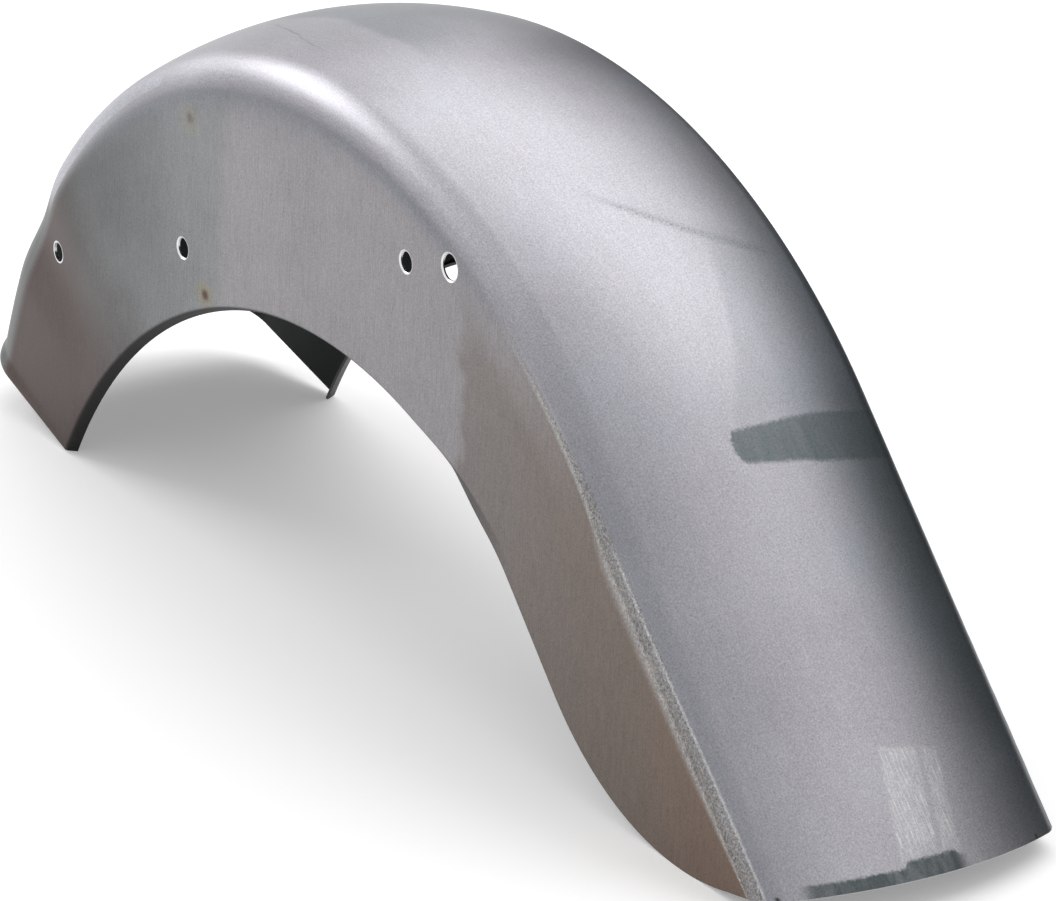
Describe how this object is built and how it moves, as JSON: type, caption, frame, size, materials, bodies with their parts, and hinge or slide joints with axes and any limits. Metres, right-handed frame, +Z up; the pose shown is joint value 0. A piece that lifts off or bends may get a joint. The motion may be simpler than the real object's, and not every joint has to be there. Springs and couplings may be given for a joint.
{
  "type": "motorcycle rear fender",
  "caption": "Raw steel rear fender: a long curved shell with flat skirts, a flanged wheel arch, bolt holes for side struts and a straight drooping tail.",
  "frame": {"origin": "on the floor, at the middle of the fender's box", "axes": "+X to the tail along the bike, +Y across the bike to the skirt that faces away in the picture, +Z up as the fender stands on its front corners and heels"},
  "size_m": [0.9684, 0.21, 0.364],
  "materials": {
    "raw_steel": "bare rolled steel with ground weld lines, heat marks and handling scratches"
  },
  "bodies": {
    "root": {"fender": "raw_steel"}
  },
  "joints": []
}
